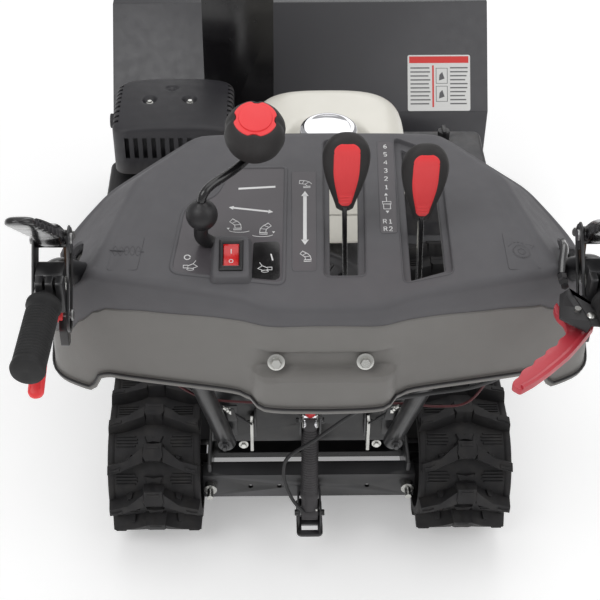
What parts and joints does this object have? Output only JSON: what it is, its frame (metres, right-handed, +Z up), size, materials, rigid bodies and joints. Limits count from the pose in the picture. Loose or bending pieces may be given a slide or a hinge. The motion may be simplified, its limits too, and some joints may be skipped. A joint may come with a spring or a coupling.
{
  "type": "two stage snowblower",
  "caption": "Two stage snowblower on rubber tracks with engine, auger housing, turning chute, sloping operator console, tilt strut and handlebars.",
  "frame": {"origin": "on the ground, on the middle plane, under the middle of the overall length", "axes": "+X to the operator's right, +Y forwards in the direction of travel, +Z up"},
  "size_m": [0.766, 1.5288, 1.04],
  "materials": {
    "black_paint": "satin",
    "grey_paint": "satin",
    "shell_plastic": "fine texture",
    "skirt_plastic": "fine texture",
    "black_plastic": "fine texture",
    "rubber": "matte",
    "zinc": "zinc plated",
    "steel": "machined",
    "cast": "cast",
    "aluminium": "cast",
    "cream_plastic": "semi gloss",
    "red_plastic": "satin",
    "dark_steel": "heat resistant paint"
  },
  "bodies": {
    "undercarriage": {"track_frame": "black_paint", "left_track_belt": "rubber", "right_track_belt": "rubber", "tension_bolts": "zinc"},
    "left_drive": {"left_drive_wheel": "black_plastic"},
    "right_drive": {"right_drive_wheel": "black_plastic"},
    "left_idler_wheel": {"left_idler": "black_plastic"},
    "right_idler_wheel": {"right_idler": "black_plastic"},
    "strut_lower": {"strut_cylinder": "black_paint"},
    "strut_upper": {"strut_rod": "zinc"},
    "chassis": {"main_frame": "black_paint", "bottom_cover": "grey_paint", "drive_belts": "rubber", "auger_housing": "grey_paint", "impeller_housing": "black_paint", "auger_gearbox": "cast", "scraper_bar": "black_paint", "skid_shoes": "black_paint", "belt_cover": "black_plastic", "engine_block": "aluminium", "blower_housing": "dark_steel", "fuel_tank": "cream_plastic", "muffler": "dark_steel", "muffler_guard": "dark_steel", "snow_hood": "grey_paint", "starter_box": "grey_paint", "console_upper": "shell_plastic", "console_lower": "skirt_plastic", "chassis_bolts": "zinc", "handlebars": "black_paint", "hand_grips": "rubber", "lever_brackets": "black_paint", "crank_guide": "black_plastic", "headlight": "black_plastic"},
    "crank": {"crankshaft": "steel"},
    "disc": {"friction_disc": "aluminium"},
    "hex": {"hex_shaft": "steel"},
    "speed_wheel": {"friction_wheel": "rubber"},
    "final": {"final_drive": "steel"},
    "fan": {"impeller": "black_paint"},
    "auger": {"auger_shaft": "steel", "augers": "black_paint"},
    "chute_body": {"chute": "black_plastic"},
    "deflector_body": {"deflector": "black_plastic"},
    "worm": {"chute_worm": "zinc"},
    "chute_crank": {"crank_handle": "dark_steel", "crank_knob": "black_plastic"},
    "recoil": {"recoil_grip": "black_plastic"},
    "cap": {"fuel_cap": "zinc"},
    "choke": {"choke_knob": "black_plastic"},
    "auger_clutch": {"auger_clutch_lever": "black_plastic"},
    "drive_clutch": {"drive_clutch_lever": "black_plastic"},
    "left_trigger": {"left_steering_trigger": "red_plastic"},
    "right_trigger": {"right_steering_trigger": "red_plastic"},
    "tilt_release": {"tilt_lever": "red_plastic"},
    "deflector_control": {"deflector_lever": "black_plastic"},
    "speed_control": {"speed_lever": "black_plastic"},
    "rocker": {"switch_rocker": "red_plastic"},
    "left_arm": {"left_linkage_arm": "zinc"},
    "right_arm": {"right_linkage_arm": "zinc"}
  },
  "joints": [
    {"name": "body_tilt", "type": "hinge", "parent": "undercarriage", "child": "chassis", "pos_m": [0, 0.147, 0.116], "axis": [1, 0, 0], "range_deg": [-2, 7]},
    {"name": "left_track_spin", "type": "hinge", "parent": "undercarriage", "child": "left_drive", "pos_m": [0, 0.147, 0.116], "axis": [1, 0, 0], "continuous": true},
    {"name": "right_track_spin", "type": "hinge", "parent": "undercarriage", "child": "right_drive", "pos_m": [0, 0.147, 0.116], "axis": [1, 0, 0], "continuous": true},
    {"name": "left_idler_spin", "type": "hinge", "parent": "undercarriage", "child": "left_idler_wheel", "pos_m": [0, -0.253, 0.116], "axis": [1, 0, 0], "continuous": true},
    {"name": "right_idler_spin", "type": "hinge", "parent": "undercarriage", "child": "right_idler_wheel", "pos_m": [0, -0.253, 0.116], "axis": [1, 0, 0], "continuous": true},
    {"name": "strut_swing", "type": "hinge", "parent": "undercarriage", "child": "strut_lower", "pos_m": [0, -0.345, 0.088], "axis": [1, 0, 0], "range_deg": [-3, 3]},
    {"name": "strut_stroke", "type": "slide", "parent": "strut_lower", "child": "strut_upper", "axis": [0, 0.2786, 0.9604], "range_m": [-0.06, 0.02]},
    {"name": "engine_spin", "type": "hinge", "parent": "chassis", "child": "crank", "pos_m": [0, 0.147, 0.406], "axis": [0, 1, 0], "continuous": true},
    {"name": "disc_spin", "type": "hinge", "parent": "chassis", "child": "disc", "pos_m": [0, 0.147, 0.22], "axis": [0, 1, 0], "continuous": true},
    {"name": "impeller_spin", "type": "hinge", "parent": "chassis", "child": "fan", "pos_m": [0, 0.309, 0.178], "axis": [0, 1, 0], "continuous": true},
    {"name": "auger_spin", "type": "hinge", "parent": "chassis", "child": "auger", "pos_m": [0, 0.587, 0.178], "axis": [1, 0, 0], "continuous": true},
    {"name": "hex_shaft_spin", "type": "hinge", "parent": "chassis", "child": "hex", "pos_m": [0, 0.0405, 0.22], "axis": [1, 0, 0], "continuous": true},
    {"name": "speed_wheel_shift", "type": "slide", "parent": "hex", "child": "speed_wheel", "axis": [1, 0, 0], "range_m": [-0.03, 0.065]},
    {"name": "final_drive_spin", "type": "hinge", "parent": "chassis", "child": "final", "pos_m": [0, 0.147, 0.116], "axis": [1, 0, 0], "continuous": true},
    {"name": "chute_turn", "type": "hinge", "parent": "chassis", "child": "chute_body", "pos_m": [-0.112, 0.297, 0.352], "axis": [0, 0, 1], "range_deg": [-95, 95]},
    {"name": "worm_spin", "type": "hinge", "parent": "chassis", "child": "worm", "pos_m": [-0.2055, 0.297, 0.357], "axis": [0, 1, 0], "range_deg": [-960, 960]},
    {"name": "crank_turn", "type": "hinge", "parent": "chassis", "child": "chute_crank", "pos_m": [-0.137, -0.556, 0.86], "axis": [0, 0, 1], "range_deg": [-580, 580]},
    {"name": "deflector_tilt", "type": "hinge", "parent": "chute_body", "child": "deflector_body", "pos_m": [-0.112, 0.317, 0.898], "axis": [-1, 0, 0], "range_deg": [-8, 42]},
    {"name": "deflector_lever_tilt", "type": "hinge", "parent": "chassis", "child": "deflector_control", "pos_m": [0.03, -0.533, 0.65], "axis": [-1, 0, 0], "range_deg": [-4, 24]},
    {"name": "speed_lever_tilt", "type": "hinge", "parent": "chassis", "child": "speed_control", "pos_m": [0.118, -0.533, 0.65], "axis": [-1, 0, 0], "range_deg": [-10, 24]},
    {"name": "auger_clutch_squeeze", "type": "hinge", "parent": "chassis", "child": "auger_clutch", "pos_m": [-0.302, -0.588, 0.83], "axis": [1, 0, 0], "range_deg": [0, 38]},
    {"name": "drive_clutch_squeeze", "type": "hinge", "parent": "chassis", "child": "drive_clutch", "pos_m": [0.302, -0.588, 0.83], "axis": [1, 0, 0], "range_deg": [0, 38]},
    {"name": "left_arm_pull", "type": "hinge", "parent": "chassis", "child": "left_arm", "pos_m": [-0.091, -0.295, 0.244], "axis": [1, 0, 0], "range_deg": [-13, 0]},
    {"name": "right_arm_pull", "type": "hinge", "parent": "chassis", "child": "right_arm", "pos_m": [0.091, -0.295, 0.244], "axis": [1, 0, 0], "range_deg": [-13, 0]},
    {"name": "left_trigger_pull", "type": "hinge", "parent": "chassis", "child": "left_trigger", "pos_m": [-0.304, -0.638, 0.762], "axis": [-1, 0, 0], "range_deg": [0, 8]},
    {"name": "right_trigger_pull", "type": "hinge", "parent": "chassis", "child": "right_trigger", "pos_m": [0.304, -0.638, 0.762], "axis": [-1, 0, 0], "range_deg": [0, 8]},
    {"name": "tilt_release_pull", "type": "hinge", "parent": "chassis", "child": "tilt_release", "pos_m": [0.272, -0.663, 0.758], "axis": [0, 0, 1], "range_deg": [0, 22]},
    {"name": "light_switch_rock", "type": "hinge", "parent": "chassis", "child": "rocker", "pos_m": [-0.105, -0.57365, 0.79056], "axis": [1, 0, 0], "range_deg": [0, 14]},
    {"name": "fuel_cap_turn", "type": "hinge", "parent": "chassis", "child": "cap", "pos_m": [0.026, -0.119, 0.665], "axis": [0, 0, 1], "range_deg": [0, 90]},
    {"name": "choke_turn", "type": "hinge", "parent": "chassis", "child": "choke", "pos_m": [0.232, 0.117, 0.5], "axis": [0, 0, 1], "range_deg": [-75, 0]},
    {"name": "starter_pull", "type": "slide", "parent": "chassis", "child": "recoil", "axis": [0, -1, 0], "range_m": [0, 0.5]}
  ],
  "couplings": [
    {"joint": "left_idler_spin", "follows": "left_track_spin", "ratio": 1},
    {"joint": "right_idler_spin", "follows": "right_track_spin", "ratio": 1},
    {"joint": "strut_swing", "follows": "body_tilt", "ratio": -0.2},
    {"joint": "strut_stroke", "follows": "body_tilt", "m_per_rad": -0.463},
    {"joint": "auger_spin", "follows": "impeller_spin", "ratio": 0.1},
    {"joint": "final_drive_spin", "follows": "hex_shaft_spin", "ratio": 0.4},
    {"joint": "disc_spin", "follows": "engine_spin", "ratio": 0.56},
    {"joint": "worm_spin", "follows": "chute_turn", "ratio": 10},
    {"joint": "crank_turn", "follows": "chute_turn", "ratio": 6},
    {"joint": "deflector_tilt", "follows": "deflector_lever_tilt", "ratio": 1.7},
    {"joint": "speed_wheel_shift", "follows": "speed_lever_tilt", "m_per_rad": 0.148},
    {"joint": "left_arm_pull", "follows": "auger_clutch_squeeze", "ratio": -0.32},
    {"joint": "right_arm_pull", "follows": "drive_clutch_squeeze", "ratio": -0.32}
  ]
}
